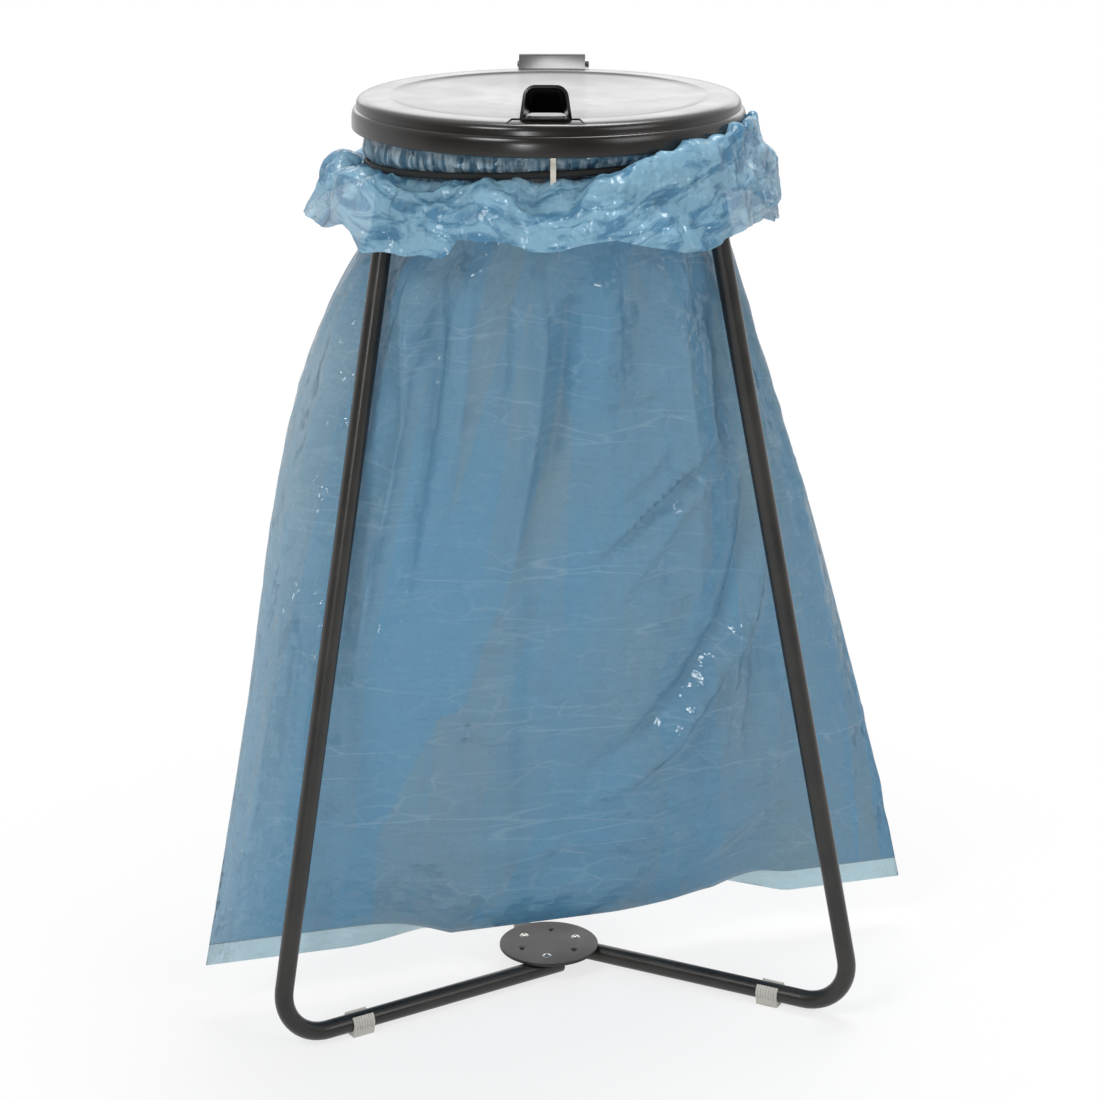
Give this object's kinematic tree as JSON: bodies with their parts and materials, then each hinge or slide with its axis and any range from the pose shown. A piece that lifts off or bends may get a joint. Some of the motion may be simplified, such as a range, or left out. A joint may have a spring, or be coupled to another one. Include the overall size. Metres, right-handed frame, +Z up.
{
  "type": "bin bag holder",
  "caption": "Free-standing tripod of bent tube with a hinged round lid over a ring that holds a film bin bag.",
  "frame": {"origin": "on the floor under the axis of the bag ring", "axes": "+Z up; the lid's grip faces -Y and its hinge is at +Y; +X is to the right seen from the grip's side"},
  "size_m": [0.7012, 0.5417, 0.9168],
  "materials": {
    "powder_coat": "black powder coat on steel",
    "zinc_steel": "zinc plated",
    "glide_plastic": "milky translucent moulding",
    "plate_coat": "glossy dark powder coat on steel",
    "rivet_aluminium": "bright blind rivet",
    "ring_plastic": "black moulding",
    "lid_plastic": "glossy black injection moulding",
    "elastic": "black round elastic",
    "spring_steel": "bright spring strip",
    "bag_film": "blue translucent polythene film"
  },
  "bodies": {
    "stand": {"back_leg": "powder_coat", "front_left_leg": "powder_coat", "front_right_leg": "powder_coat", "back_leg_screw": "zinc_steel", "front_left_leg_screw": "zinc_steel", "front_right_leg_screw": "zinc_steel", "back_foot": "glide_plastic", "front_left_foot": "glide_plastic", "front_right_foot": "glide_plastic", "hub_plate": "plate_coat", "hub_rivet_back": "rivet_aluminium", "hub_rivet_left": "rivet_aluminium", "hub_rivet_right": "rivet_aluminium", "bag_ring": "ring_plastic", "hinge_bracket": "powder_coat", "bracket_screw_left": "zinc_steel", "bracket_screw_right": "zinc_steel", "hinge_pin": "zinc_steel", "pin_cap": "zinc_steel", "elastic_band": "elastic", "band_hook": "spring_steel", "bin_bag": "bag_film"},
    "lid": {"lid": "lid_plastic"}
  },
  "joints": [
    {"name": "lid_hinge", "type": "hinge", "parent": "stand", "child": "lid", "pos_m": [0, 0.1912, 0.8885], "axis": [-1, 0, 0], "range_deg": [0, 100]}
  ]
}
